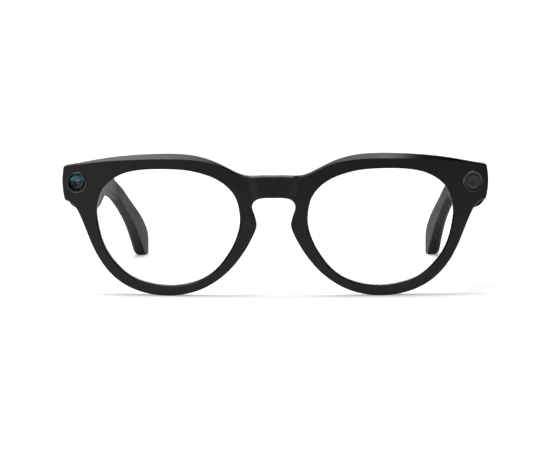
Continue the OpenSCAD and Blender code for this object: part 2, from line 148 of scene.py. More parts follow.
def stationValue(stations, s):
    last = len(stations) - 2
    i = 0
    while i < last and s >= stations[i + 1][0]:
        i += 1

    def grade(k):
        a, b = max(k - 1, 0), min(k + 1, len(stations) - 1)
        return (stations[b][1] - stations[a][1]) / (stations[b][0] - stations[a][0])

    h = stations[i + 1][0] - stations[i][0]
    t = (s - stations[i][0]) / h
    return (stations[i][1] * (1 + 2 * t) * (1 - t) ** 2 + stations[i + 1][1] * t * t * (3 - 2 * t)
            + h * (grade(i) * t * (1 - t) ** 2 - grade(i + 1) * t * t * (1 - t)))


def between(pairs, s):
    for (a, va), (b, vb) in zip(pairs, pairs[1:]):
        if s <= b:
            return va + (vb - va) * (s - a) / (b - a)
    return pairs[-1][1]


def easeStep(a, b, v):
    t = min(max((v - a) / (b - a), 0.0), 1.0)
    return 0.85 * t + 0.15 * t * t * (3 - 2 * t)


def wrapY(x, depth=0.0):
    radius = glasses["wrapRadius"]
    return radius - math.sqrt((radius - depth) ** 2 - x * x)


def spot(x, y, z):
    return Vector((x * mm, (y + yShift) * mm, z * mm))


def ontoFront(x, z):
    # follows the line of sight through a point of the flat drawing until it meets the curved front
    eye = Vector(shot["eye"])
    ahead = (Vector(shot["aim"]) - eye).normalized()
    right = ahead.cross(Vector((0, 0, 1))).normalized()
    up = right.cross(ahead)
    midX, midZ = flatView["centre"]
    way = ahead * flatView["distance"] + right * (x - midX) + up * (z - midZ)
    hit = eye - way * (eye.y / way.y)
    for _ in range(flatView["passes"]):
        hit = eye + way * ((wrapY(hit.x) - eye.y) / way.y)
    return hit


def laidOnFront(points, scale=1.0, lowest=0.0):
    # the two sides look a little different from the eye, so each point is their mean
    placed = []
    for x, z in points:
        one, other = ontoFront(-x, z), ontoFront(x, z)
        placed.append(((other.x - one.x) / 2 * scale, ((one.z + other.z) / 2 - lowest) * scale))
    return placed


unscaled = laidOnFront(flatOutline)
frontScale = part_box("front_frame")[1].x / mm / max(x for x, z in unscaled)
frontLowest = min(z for x, z in unscaled)
outlineHalf = laidOnFront(flatOutline, frontScale, frontLowest)
lensOpening = laidOnFront(flatOpening, frontScale, frontLowest)
print("outlines made:", len(outlineHalf), "and", len(lensOpening), "points")


def newPiece(name, verts, faces, material, smoothAngle=32):
    mesh = bpy.data.meshes.new(name)
    mesh.from_pydata([tuple(v) for v in verts], [], faces)
    piece = bpy.data.objects.new(name, mesh)
    scene.collection.objects.link(piece)
    tidyMesh(mesh, smoothAngle)
    mesh.materials.append(material)
    return piece


def tidyMesh(mesh, smoothAngle=32, merge=0.000002):
    bm = bmesh.new()
    bm.from_mesh(mesh)
    bmesh.ops.remove_doubles(bm, verts=bm.verts, dist=merge)
    bmesh.ops.dissolve_degenerate(bm, edges=bm.edges, dist=merge)
    bmesh.ops.recalc_face_normals(bm, faces=bm.faces)
    bm.to_mesh(mesh)
    bm.free()
    mesh.polygons.foreach_set("use_smooth", [True] * len(mesh.polygons))
    mesh.set_sharp_from_angle(angle=math.radians(smoothAngle))


def loftRings(rings):
    count = len(rings[0])
    verts = [v for ring in rings for v in ring]
    faces = []
    for i in range(len(rings) - 1):
        for k in range(count):
            n = (k + 1) % count
            faces.append((i * count + k, i * count + n, (i + 1) * count + n, (i + 1) * count + k))
    faces.append(tuple(reversed(range(count))))
    faces.append(tuple((len(rings) - 1) * count + k for k in range(count)))
    return verts, faces


def boxSolid(low, high):
    verts = [spot(x, y, z) for y in (low[1], high[1]) for z in (low[2], high[2])
             for x in (low[0], high[0])]
    return verts, [(0, 1, 3, 2), (4, 6, 7, 5), (0, 4, 5, 1), (2, 3, 7, 6), (0, 2, 6, 4), (1, 5, 7, 3)]


def joined(*solids):
    verts, faces = [], []
    for v, f in solids:
        base = len(verts)
        verts += v
        faces += [tuple(i + base for i in face) for face in f]
    return verts, faces


def mirrored(solid):
    verts, faces = solid
    return [Vector((-v[0], v[1], v[2])) for v in verts], [tuple(reversed(f)) for f in faces]


def cut(piece, solid, operation="DIFFERENCE"):
    tool = newPiece("cuttingTool", *solid, piece.data.materials[0])
    carve = piece.modifiers.new("carve", "BOOLEAN")
    carve.operation = operation
    carve.solver = "EXACT"
    carve.object = tool
    graph = bpy.context.evaluated_depsgraph_get()
    result = bpy.data.meshes.new_from_object(piece.evaluated_get(graph))
    piece.modifiers.remove(carve)
    old = piece.data
    piece.data = result
    bpy.data.meshes.remove(old)
    toolMesh = tool.data
    bpy.data.objects.remove(tool)
    bpy.data.meshes.remove(toolMesh)


def roundedSection(x0, x1, z0, z1, radii, inset=0.0, arcSteps=6, sideSteps=3):
    # corners in turn: inner low, outer low, outer top, inner top
    x0, x1, z0, z1 = x0 + inset, x1 - inset, z0 + inset, z1 - inset
    most = max(min(x1 - x0, z1 - z0) / 2 - 0.01, 0.01)
    r = [min(max(v - inset, 0.05), most) for v in radii]
    corners = [((x0 + r[0], z0 + r[0]), r[0], 180), ((x1 - r[1], z0 + r[1]), r[1], 270),
               ((x1 - r[2], z1 - r[2]), r[2], 0), ((x0 + r[3], z1 - r[3]), r[3], 90)]
    points = []
    for k, ((cx, cz), radius, start) in enumerate(corners):
        arc = [(cx + radius * math.cos(math.radians(start + 90 * i / arcSteps)),
                cz + radius * math.sin(math.radians(start + 90 * i / arcSteps)))
               for i in range(arcSteps + 1)]
        if points:
            ax, az = points[-1]
            points += [(ax + (arc[0][0] - ax) * i / sideSteps, az + (arc[0][1] - az) * i / sideSteps)
                       for i in range(1, sideSteps)]
        points += arc
    ax, az = points[-1]
    bx, bz = points[0]
    points += [(ax + (bx - ax) * i / sideSteps, az + (bz - az) * i / sideSteps)
               for i in range(1, sideSteps)]
    return points


def lathe(profile, place, steps=96, closed=True):
    # profile is (radius, height) pairs; place turns (x, y, height) into the part's frame
    verts, faces, rings = [], [], []
    for radius, height in profile:
        if radius < 1e-6:
            rings.append([len(verts)])
            verts.append(place(0, 0, height))
            continue
        rings.append(list(range(len(verts), len(verts) + steps)))
        for k in range(steps):
            a = 2 * math.pi * k / steps
            verts.append(place(radius * math.cos(a), radius * math.sin(a), height))
    loop = list(zip(rings, rings[1:] + rings[:1])) if closed else list(zip(rings, rings[1:]))
    for a, b in loop:
        if len(a) == 1 and len(b) == 1:
            continue
        for k in range(steps):
            n = (k + 1) % steps
            if len(a) == 1:
                faces.append((a[0], b[k], b[n]))
            elif len(b) == 1:
                faces.append((a[k], b[0], a[n]))
            else:
                faces.append((a[k], b[k], b[n], a[n]))
    return verts, faces


def atEye(side):
    # heights grow outward from the front face
    tilt = math.asin(glasses["eyeX"] / glasses["wrapRadius"])

    def place(x, y, h):
        px = glasses["eyeX"] + x * math.cos(tilt) + h * math.sin(tilt)
        py = wrapY(glasses["eyeX"]) + x * math.sin(tilt) - h * math.cos(tilt)
        return spot(side * px, py, glasses["eyeZ"] + y)

    return place


def shaderOf(material):
    return material.node_tree.nodes["Principled BSDF"]


def newMaterial(name, settings):
    material = bpy.data.materials.new(name)
    material.use_nodes = True
    shader = shaderOf(material)
    for socket, value in settings.items():
        shader.inputs[socket].default_value = value
    return material


def addGrain(material, dark, light, colourScale, rough, roughScale, bumpScale, bumpDepth):
    # cloudy colour, uneven polish and a fine moulded grain
    tree = material.node_tree
    shader = shaderOf(material)
    coords = tree.nodes.new("ShaderNodeTexCoord")

    def noise(scale, detail):
        node = tree.nodes.new("ShaderNodeTexNoise")
        node.inputs["Scale"].default_value = scale
        node.inputs["Detail"].default_value = detail
        tree.links.new(coords.outputs["Object"], node.inputs["Vector"])
        return node

    colour = tree.nodes.new("ShaderNodeValToRGB")
    colour.color_ramp.elements[0].position = 0.3
    colour.color_ramp.elements[0].color = (*dark, 1)
    colour.color_ramp.elements[1].position = 0.7
    colour.color_ramp.elements[1].color = (*light, 1)
    tree.links.new(noise(colourScale, 3).outputs["Fac"], colour.inputs["Fac"])
    tree.links.new(colour.outputs["Color"], shader.inputs["Base Color"])

    polish = tree.nodes.new("ShaderNodeMapRange")
    polish.inputs["From Min"].default_value = 0.3
    polish.inputs["From Max"].default_value = 0.7
    polish.inputs["To Min"].default_value = rough[0]
    polish.inputs["To Max"].default_value = rough[1]
    tree.links.new(noise(roughScale, 5).outputs["Fac"], polish.inputs["Value"])
    tree.links.new(polish.outputs["Result"], shader.inputs["Roughness"])

    bump = tree.nodes.new("ShaderNodeBump")
    bump.inputs["Strength"].default_value = 0.5
    bump.inputs["Distance"].default_value = bumpDepth
    tree.links.new(noise(bumpScale, 4).outputs["Fac"], bump.inputs["Height"])
    tree.links.new(bump.outputs["Normal"], shader.inputs["Normal"])
    return material


# painted reflection: a teal band in the upper part of the camera optics and near black below, standing in
# for the lights they reflect
paintedReflectionBand = {
    "reach": 2.7,    # either side of the camera's middle height
    # share of the way up, then colour
    "stops": [(0.0, (0.003, 0.003, 0.003)), (0.46, (0.004, 0.006, 0.006)), (0.58, (0.03, 0.25, 0.26)),
              (0.72, (0.1, 0.85, 0.9)), (0.86, (0.06, 0.45, 0.7)), (1.0, (0.015, 0.08, 0.2))],
}


def addPaintedReflectionBand(material):
    # painted reflection: the camera optics' base colour is painted teal in the upper half, where the lights
    # would reflect, and painted near black below, where nothing bright is reflected
    tree = material.node_tree
    coords = tree.nodes.new("ShaderNodeTexCoord")
    parts = tree.nodes.new("ShaderNodeSeparateXYZ")
    tree.links.new(coords.outputs["Object"], parts.inputs["Vector"])
    share = tree.nodes.new("ShaderNodeMapRange")
    share.inputs["From Min"].default_value = spot(0, 0, glasses["eyeZ"] - paintedReflectionBand["reach"]).z
    share.inputs["From Max"].default_value = spot(0, 0, glasses["eyeZ"] + paintedReflectionBand["reach"]).z
    tree.links.new(parts.outputs["Z"], share.inputs["Value"])
    ramp = tree.nodes.new("ShaderNodeValToRGB")
    stops = paintedReflectionBand["stops"]
    points = ramp.color_ramp.elements
    while len(points) < len(stops):
        points.new(0.5)
    for point, (place, colour) in zip(points, stops):
        point.position = place
        point.color = (*colour, 1)
    tree.links.new(share.outputs["Result"], ramp.inputs["Fac"])
    tree.links.new(ramp.outputs["Color"], shaderOf(material).inputs["Base Color"])
    return material


def makeMaterials():
    made = {}
    made["frontPlastic"] = addGrain(
        newMaterial("frontPlastic", {"Specular IOR Level": 0.2}),
        (0.003, 0.003, 0.0032), (0.005, 0.005, 0.0052), 60, (0.12, 0.18), 400, 2600, 0.000006)
    made["templePlastic"] = addGrain(
        newMaterial("templePlastic", {"Specular IOR Level": 0.04}),
        (0.01, 0.01, 0.0103), (0.014, 0.014, 0.0143), 60, (0.42, 0.5), 400, 2600, 0.00001)
    made["coverPlastic"] = addGrain(
        newMaterial("coverPlastic", {"Specular IOR Level": 0.22}),
        (0.011, 0.011, 0.0113), (0.015, 0.015, 0.0153), 90, (0.5, 0.6), 500, 3400, 0.000006)
    made["bezelBlack"] = addGrain(
        newMaterial("bezelBlack", {"Specular IOR Level": 0.8}),
        (0.004, 0.004, 0.0045), (0.008, 0.008, 0.0085), 300, (0.26, 0.32), 700, 5000, 0.000006)
    made["innerBlack"] = addGrain(
        newMaterial("innerBlack", {}),
        (0.006, 0.006, 0.006), (0.012, 0.012, 0.012), 600, (0.4, 0.55), 900, 6000, 0.00001)
    made["steel"] = addGrain(
        newMaterial("hingeSteel", {"Metallic": 1.0}),
        (0.07, 0.07, 0.073), (0.11, 0.11, 0.115), 500, (0.3, 0.42), 1500, 6000, 0.000006)
    made["screwSteel"] = addGrain(
        newMaterial("screwSteel", {"Metallic": 1.0}),
        (0.3, 0.3, 0.31), (0.45, 0.45, 0.46), 800, (0.25, 0.4), 1500, 6000, 0.000006)
    made["shieldMetal"] = addGrain(
        newMaterial("shieldMetal", {"Metallic": 1.0}),
        (0.6, 0.6, 0.6), (0.72, 0.72, 0.72), 300, (0.3, 0.4), 900, 4000, 0.000006)
    made["gold"] = addGrain(
        newMaterial("goldContact", {"Metallic": 1.0}),
        (0.78, 0.52, 0.2), (0.9, 0.66, 0.3), 400, (0.18, 0.28), 900, 4000, 0.000004)
    made["board"] = addGrain(
        newMaterial("circuitBoard", {}),
        (0.008, 0.06, 0.02), (0.015, 0.1, 0.035), 900, (0.3, 0.42), 900, 3000, 0.00002)
    made["whiteBoard"] = addGrain(
        newMaterial("whiteBoard", {}),
        (0.55, 0.55, 0.53), (0.68, 0.68, 0.66), 900, (0.4, 0.5), 900, 3000, 0.00001)
    made["flex"] = addGrain(
        newMaterial("flexFilm", {}),
        (0.35, 0.16, 0.03), (0.5, 0.24, 0.05), 300, (0.22, 0.32), 700, 2500, 0.00001)
    made["foil"] = addGrain(
        newMaterial("batteryFoil", {"Metallic": 0.8}),
        (0.42, 0.45, 0.48), (0.55, 0.58, 0.6), 120, (0.28, 0.4), 500, 1500, 0.00003)
    made["mesh"] = addGrain(
        newMaterial("speakerMesh", {"Metallic": 0.6}),
        (0.02, 0.02, 0.02), (0.06, 0.06, 0.06), 2400, (0.4, 0.6), 2400, 9000, 0.00005)
    made["diffuser"] = addGrain(
        newMaterial("smokedDiffuser", {"Specular IOR Level": 0.4}),
        (0.017, 0.017, 0.0175), (0.023, 0.023, 0.0235), 700, (0.3, 0.4), 900, 4200, 0.00002)
    made["diffuserCore"] = addGrain(
        newMaterial("diffuserCore", {}),
        (0.004, 0.004, 0.004), (0.008, 0.008, 0.008), 900, (0.35, 0.45), 900, 4200, 0.00002)
    made["clearLens"] = addGrain(
        newMaterial("clearLens", {"Transmission Weight": 1.0, "IOR": 1.5, "Specular IOR Level": 0.12,
                                  "Specular Tint": (0.01, 0.01, 0.011, 1)}),
        (0.99, 0.995, 0.993), (1, 1, 1), 20, (0.0, 0.004), 60, 900, 0.0000001)
    made["cameraGlass"] = addGrain(
        newMaterial("cameraGlass", {"Transmission Weight": 1.0, "IOR": 1.45,
                                    "Specular IOR Level": 0.05,
                                    "Specular Tint": (0.03, 0.16, 0.19, 1)}),
        (0.5, 0.5, 0.5), (0.6, 0.6, 0.6), 300, (0.01, 0.03), 900, 3000, 0.0000005)
    made["trimMetal"] = addGrain(
        newMaterial("trimMetal", {"Metallic": 1.0}),
        (0.3, 0.25, 0.21), (0.45, 0.38, 0.33), 900, (0.22, 0.34), 1500, 6000, 0.000004)
    made["coatedLensPaintedReflection"] = addGrain(
        newMaterial("coatedLensPaintedReflection", {"Specular IOR Level": 1.0, "Coat Weight": 1.0,
                                    "Coat Tint": (0.8, 0.6, 0.9, 1), "Coat Roughness": 0.03}),
        (0.02, 0.012, 0.03), (0.05, 0.03, 0.06), 800, (0.05, 0.1), 900, 3000, 0.000001)
    # the barrel and the lens take the painted reflection band as their base colour
    made["paintedReflectionBarrel"] = addPaintedReflectionBand(
        addGrain(newMaterial("paintedReflectionBarrel", {"Specular IOR Level": 0.1}),
                 (0.01, 0.01, 0.01), (0.02, 0.02, 0.02), 600, (0.3, 0.4), 900, 6000, 0.000004))
    addPaintedReflectionBand(made["coatedLensPaintedReflection"])
    return made


stuff = makeMaterials()
print("materials made:", len(stuff))


frontCut = {
    "edgeRound": 0.55,      # rounding of the outline's edges
    "openingRound": 0.5,    # the lens openings' edges, flat in front and rounded behind
    # size of the brow bevel at distances from the middle
    "bevel": [(0, 0.55), (15, 0.55), (18, 0.7), (21.6, 1.0), (25.5, 1.4), (30, 1.7), (36, 1.85),
              (42, 1.8), (48, 1.65), (54, 1.45), (60, 1.1), (65, 0.75), (69, 0.58), (80, 0.55)],
    "bevelAbove": 41.8,
    "bevelEnd": 74.2,
    # width, near depth, far depth and reach of the cover's seat, then of the wiring channel
    "channels": [(3.52, 3.55, 5.2, 60.2), (2.4, 2.4, 4.0, 66.5)],
    "roundSteps": 5,
    "faceSteps": 22,
    "outlineSteps": 5,
    "bridgeSteps": 9,
}


# the ramps run between these distances from the middle, at the bridge's foot and at its top
bridgeShape = {"low": 34.4, "high": 42.3, "inner": (5.2, 6.8), "outer": (7.1, 9.1)}


def bridgeRise(x, z):
    # the raised middle of the bridge, with a slanted ramp at each side
    b = bridgeShape
    up = (z - b["low"]) / (b["high"] - b["low"])
    inner = b["inner"][0] + (b["inner"][1] - b["inner"][0]) * up
    outer = b["outer"][0] + (b["outer"][1] - b["outer"][0]) * up
    return glasses["bridgeLift"] * (1 - easeStep(inner, outer, abs(x)))


def bevelSize(x, z):
    bevelled = z > frontCut["bevelAbove"] and x < frontCut["bevelEnd"]
    return between(frontCut["bevel"], x) if bevelled else 0.0


def rimColumn(inner, innerOut, outer, outerOut, onBridge, bevel):
    # one loop round the rim: front face from the opening out, side, back face, opening wall
    s = frontCut
    thick = glasses["frontThickness"]
    steps = s["roundSteps"]
    loop = []

    def add(x, z, depth, lift=1.0):
        back = depth / thick
        front = wrapY(x) - lift * bridgeRise(x, z)
        loop.append(spot(x, front * (1 - back) + wrapY(x, thick) * back, z))

    r = s["openingRound"]
    for k in range(steps + 1):
        reach = r * k / steps
        add(inner[0] + innerOut[0] * reach, inner[1] + innerOut[1] * reach, r - reach)
    reach = max(s["edgeRound"], bevel)
    a0 = (inner[0] + innerOut[0] * r, inner[1] + innerOut[1] * r)
    b0 = outer if onBridge else (outer[0] - outerOut[0] * reach, outer[1] - outerOut[1] * reach)
    for k in range(1, s["faceSteps"]):
        t = k / s["faceSteps"]
        add(a0[0] + (b0[0] - a0[0]) * t, a0[1] + (b0[1] - a0[1]) * t, 0)
    flat = 1.0 if bevel > 0 else 0.0
    for k in range(steps + 1):
        a = math.pi / 2 * k / steps
        t = k / steps
        offset = reach * ((1 - math.sin(a)) * (1 - flat) + (1 - t) * flat)
        depth = reach * ((1 - math.cos(a)) * (1 - flat) + t * flat)
        if onBridge:
            add(outer[0], outer[1], 0)
        else:
            add(outer[0] - outerOut[0] * offset, outer[1] - outerOut[1] * offset, depth)
    frontCount = len(loop)
    round2 = s["edgeRound"]
    for k in range(steps + 1):
        a = math.pi / 2 * k / steps
        offset, depth = round2 * (1 - math.cos(a)), thick - round2 * (1 - math.sin(a))
        if onBridge:
            add(outer[0], outer[1], thick)
        else:
            add(outer[0] - outerOut[0] * offset, outer[1] - outerOut[1] * offset, depth)
    b1 = outer if onBridge else (outer[0] - outerOut[0] * round2, outer[1] - outerOut[1] * round2)
    for k in range(1, s["faceSteps"]):
        t = k / s["faceSteps"]
        add(b1[0] + (a0[0] - b1[0]) * t, b1[1] + (a0[1] - b1[1]) * t, thick)
    for k in range(steps + 1):
        a = math.pi / 2 * k / steps
        add(inner[0] + innerOut[0] * r * (1 - math.sin(a)),
            inner[1] + innerOut[1] * r * (1 - math.sin(a)), thick - r * (1 - math.cos(a)))
    return loop, frontCount


def frontHalf():
    s = frontCut
    columns, bridge = [], []
    count = (len(outlineHalf) - 1) * s["outlineSteps"]
    for i in range(count + 1):
        v = i / s["outlineSteps"]
        outer = onOpen(outlineHalf, v)
        u = between(rimPairs, v)
        inner = onClosed(lensOpening, u)
        outerOut = outwardAt(onOpen, outlineHalf, min(max(v, 0.02), len(outlineHalf) - 1.02))
        if i in (0, count):
            outerOut = (0.0, 1.0 if i == 0 else -1.0)
            outer = (0.0, outer[1])
        bevel = bevelSize(*outer)
        columns.append((inner, outwardAt(onClosed, lensOpening, u), outer, outerOut, False, bevel))
        bridge.append(False)
    low, high = outlineHalf[-1][1], outlineHalf[0][1]
    margin = frontCut["edgeRound"]
    for k in range(s["bridgeSteps"] + 1):
        t = k / s["bridgeSteps"]
        outer = (0.0, low + margin + (high - low - 2 * margin) * t)
        u = rimPairs[-1][1] + (rimPairs[0][1] + len(lensOpening) - rimPairs[-1][1]) * (
            (k + 1) / (s["bridgeSteps"] + 2))
        inner = onClosed(lensOpening, u)
        columns.append((inner, outwardAt(onClosed, lensOpening, u), outer, (0, 0), True, 0.0))
        bridge.append(True)
    loops = [rimColumn(*c) for c in columns]
    frontCount = loops[0][1]
    rows = len(loops[0][0])
    faceEnd = s["roundSteps"] + 1 + s["faceSteps"] - 1      # last row of the front face
    backStart = frontCount + s["roundSteps"]                # first row of the back face
    verts = [p for loop, _ in loops for p in loop]
    faces = []
    total = len(loops)
    for i in range(total):
        n = (i + 1) % total
        seam = bridge[i] or bridge[n]
        for k in range(rows):
            m = (k + 1) % rows
            if seam and faceEnd <= k < backStart:
                continue
            faces.append((i * rows + k, i * rows + m, n * rows + m, n * rows + k))
    return verts, faces


blockShape = {
    # distance back, inner side, and how far the section is drawn in
    "stations": [(8.6, 61.4, 0.8), (9.6, 61.4, 0.3), (10.6, 61.6, 0.1), (11.8, 62.5, 0),
                 (12.9, 63.8, 0), (13.9, 64.5, 0), (14.8, 64.6, 0), (17, 64.6, 0),
                 (19.2, 64.6, 0), (19.55, 64.6, 0.06), (19.73, 64.6, 0.18), (19.8, 64.6, 0.42)],
    "outerX": 74.9,
    "lowZ": 33.3,
    "highZ": 45.65,
    "corners": (0.6, 1.6, 1.2, 0.7),
    "leanEnd": 14.5,       # ahead of this the block follows the bent front
    "leanLength": 5.9,
    "seat": ((64.55, 14.15, 33.95), (66.05, 21, 42.05)),    # for the hinge bracket
}


def endBlock():
    # rounded block that carries the hinge behind the end of the front
    s = blockShape
    innerX = s["stations"][0][1]
    rings = []
    for y, x0, inset in s["stations"]:
        section = roundedSection(x0, s["outerX"], s["lowZ"], s["highZ"], s["corners"], inset, 7, 4)
        lean = max(s["leanEnd"] - y, 0) / s["leanLength"]
        rings.append([spot(x, y + lean * (wrapY(x) - wrapY(innerX)), z) for x, z in section])
    return loftRings(rings)


def ribbonSolid(line, width, near, far, reach):
    # strip along the wiring channel, bent with the front; reach limits how far out it goes
    whole = [(-x, z) for x, z in reversed(line)] + line[1:]
    steps, rings = 5, []
    count = (len(whole) - 1) * steps
    for i in range(count + 1):
        u = i / steps
        x, z = onOpen(whole, u)
        if abs(x) > reach:
            continue
        ox, oz = outwardAt(onOpen, whole, min(max(u, 0.02), len(whole) - 1.02))
        ring = []
        for across, depth in ((-1, near), (1, near), (1, far), (-1, far)):
            px, pz = x + ox * across * width / 2, z + oz * across * width / 2
            ring.append(spot(px, wrapY(px, depth), pz))
        rings.append(ring)
    return loftRings(rings)


def wellCutter(side):
    # seat for the bezel, then a narrower bore for what sits behind it
    profile = [(0, 1.0), (3.78, 1.0), (3.75, -1.25), (3.0, -1.3), (3.0, -5.4), (0, -5.4)]
    return lathe(profile, atEye(side), 72, closed=False)


half = frontHalf()
frontFrame = newPiece("frontFrame", *joined(half, mirrored(half)), stuff["frontPlastic"], 34)
for side in (-1, 1):
    cut(frontFrame, wellCutter(side))
for channel in frontCut["channels"]:
    cut(frontFrame, ribbonSolid(channelLine, *channel))
tidyMesh(frontFrame.data, 34)
blocks = newPiece("hingeBlocks", *joined(endBlock(), mirrored(endBlock())), stuff["frontPlastic"], 34)
for side in (-1, 1):
    seat = boxSolid(*blockShape["seat"])
    cut(blocks, seat if side > 0 else mirrored(seat))
    cut(blocks, wellCutter(side))
tidyMesh(blocks.data, 34)
for piece in (frontFrame, blocks):
    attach(piece, "front")
    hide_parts("front_frame")
print("front frame made:", len(frontFrame.data.polygons), "faces")

browShape = {
    "ribbon": (3.4, 3.6, 4.6, 60.0),    # width, near depth, far depth and reach
    "windowX": 2.4,                     # windows for the two charging contacts
    "windowHalf": 1.1,
    "windowZ": (37.9, 39.5),
    "windowReach": 8,
}
browCover = newPiece("browCover", *ribbonSolid(channelLine, *browShape["ribbon"]), stuff["coverPlastic"], 34)
for side in (-1, 1):
    middle, half = side * browShape["windowX"], browShape["windowHalf"]
    low, high = browShape["windowZ"]
    cut(browCover, boxSolid((middle - half, 0, low), (middle + half, browShape["windowReach"], high)))
tidyMesh(browCover.data, 34)
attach(browCover, "front")
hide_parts("brow_cover")


lensShape = {"centre": (38.0, 24.0), "inset": 1.3, "thickness": 2.0, "groove": 0.7,
             "rings": 14, "steps": 152}


def lensSolid():
    s = lensShape
    radius = glasses["wrapRadius"]
    centre = s["centre"]
    edge = []
    for k in range(s["steps"]):
        u = k * len(lensOpening) / s["steps"]
        x, z = onClosed(lensOpening, u)
        ox, oz = outwardAt(onClosed, lensOpening, u)
        edge.append((x + ox * s["groove"], z + oz * s["groove"]))
    rings = []
    for face, order in ((s["inset"], range(1, s["rings"] + 1)),
                        (s["inset"] + s["thickness"], range(s["rings"], 0, -1))):
        for i in order:
            t = i / s["rings"]
            ring = []
            for x, z in edge:
                px, pz = centre[0] + (x - centre[0]) * t, centre[1] + (z - centre[1]) * t
                y = radius - math.sqrt((radius - face) ** 2 - px * px - (pz - centre[1]) ** 2)
                ring.append(spot(px, y, pz))
            rings.append(ring)
    return loftRings(rings)


for side, name in ((-1, "right"), (1, "left")):
    solid = lensSolid()
    lens = newPiece(name + "ClearLens", *(solid if side > 0 else mirrored(solid)), stuff["clearLens"], 40)
    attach(lens, "front")
    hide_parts(name + "_lens")
print("lenses made")


padShape = {"centre": (10.9, 19.4), "lean": 27, "length": 15.8, "width": 4.0, "height": 6.2,
            "flare": 0.1, "along": 30, "across": 18}


def nosePad():
    s = padShape
    lean = math.radians(s["lean"])
    rows, verts, faces = [], [], []
    for i in range(s["along"] + 1):
        t = -1 + 2 * i / s["along"]
        body = max(1 - abs(t) ** 2.4, 0.0) ** 0.5
        row = []
        for k in range(s["across"] + 1):
            a = math.pi * k / s["across"]
            across = -math.cos(a)
            rise = math.sin(a) ** 0.75 * body
            depth = rise * s["height"] * (1 + 0.12 * t)
            lx = across * s["width"] / 2 * body ** 0.6 + s["flare"] * rise
            lz = t * s["length"] / 2
            x = s["centre"][0] + lx * math.cos(lean) - lz * math.sin(lean)
            z = s["centre"][1] + lx * math.sin(lean) + lz * math.cos(lean)
            row.append(len(verts))
            verts.append(spot(x, wrapY(x, glasses["frontThickness"]) - 0.15 + depth, z))
        rows.append(row)
    for a, b in zip(rows, rows[1:]):
        for k in range(s["across"]):
            faces.append((a[k], a[k + 1], b[k + 1], b[k]))
        faces.append((a[0], b[0], b[-1], a[-1]))
    return verts, faces


for side, name in ((-1, "right"), (1, "left")):
    solid = nosePad()
    pad = newPiece(name + "NosePad", *(solid if side > 0 else mirrored(solid)), stuff["frontPlastic"], 50)
    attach(pad, "front")
    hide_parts(name + "_nose_pad")
print("nose pads made")


cameraParts = {
    "bezel": [(3.7, -0.1), (3.7, 0.0), (3.67, 0.05), (3.41, 0.29), (3.34, 0.31), (3.26, 0.26),
              (3.2, 0.12), (3.16, -0.1), (3.12, -0.3), (3.12, -1.2), (3.7, -1.2)],
    "window": [(0, 0.1), (0.6, 0.08), (1.2, 0.03), (1.8, -0.06), (2.3, -0.16), (2.7, -0.27),
               (3.0, -0.36), (3.1, -0.44), (3.1, -0.85), (3.05, -0.95), (2.4, -0.95),
               (1.2, -0.95), (0, -0.95)],
    "barrel": [(2.7, -1.45), (2.66, -1.36), (2.56, -1.32), (2.1, -1.34), (2.02, -1.5), (1.98, -1.7),
               (1.86, -1.72), (1.8, -1.95), (1.68, -1.98), (1.62, -2.2), (1.6, -3.9), (2.7, -3.9)],
    "trim": [(1.62 + 0.2 * math.cos(math.radians(a)), -1.62 + 0.2 * math.sin(math.radians(a)))
             for a in range(0, 360, 30)],
    "lens": [(0, -1.7), (0.4, -1.72), (0.8, -1.79), (1.15, -1.9), (1.4, -2.03), (1.53, -2.14),
             (1.55, -2.3), (1.55, -3.2), (0, -3.2)],
}
for name, finish, node, slot in (
        ("bezel", "bezelBlack", "camera_bezel", "bezel_black"),
        ("window", "cameraGlass", "camera_window", "camera_glass"),
        ("barrel", "paintedReflectionBarrel", "camera_barrel", "inner_black"),
        ("trim", "trimMetal", "camera_barrel", "inner_black"),
        ("lens", "coatedLensPaintedReflection", "camera_lens", "camera_glass")):
    centred = cameraParts[name][0][0] == 0
    piece = newPiece("camera" + name.capitalize(),
                     *lathe(cameraParts[name], atEye(-1), 96, closed=not centred), stuff[finish], 40)
    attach(piece, "front")
    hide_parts(node)

lightParts = {
    "bezel": [(3.7, -0.1), (3.7, 0.0), (3.67, 0.03), (3.52, 0.17), (3.46, 0.17), (3.41, 0.08),
              (3.38, -0.1), (3.33, -0.34), (3.25, -0.4), (2.95, -0.42), (2.88, -0.46),
              (2.88, -1.2), (3.7, -1.2)],
    "diffuser": [(0.9, -0.4), (1.0, -0.36), (1.4, -0.33), (2.1, -0.34), (2.6, -0.37), (2.78, -0.43),
                 (2.85, -0.55), (2.85, -1.15), (0.9, -1.15)],
    "core": [(0, -0.5), (0.5, -0.5), (0.8, -0.47), (0.88, -0.5), (0.88, -1.1), (0, -1.1)],
}
for name, finish in (("bezel", "bezelBlack"), ("diffuser", "diffuser"), ("core", "diffuserCore")):
    centred = lightParts[name][0][0] == 0
    piece = newPiece("light" + name.capitalize(),
                     *lathe(lightParts[name], atEye(1), 96, closed=not centred), stuff[finish], 40)
    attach(piece, "front")
    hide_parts("light_bezel" if name == "bezel" else "light_diffuser")
print("camera and light made")


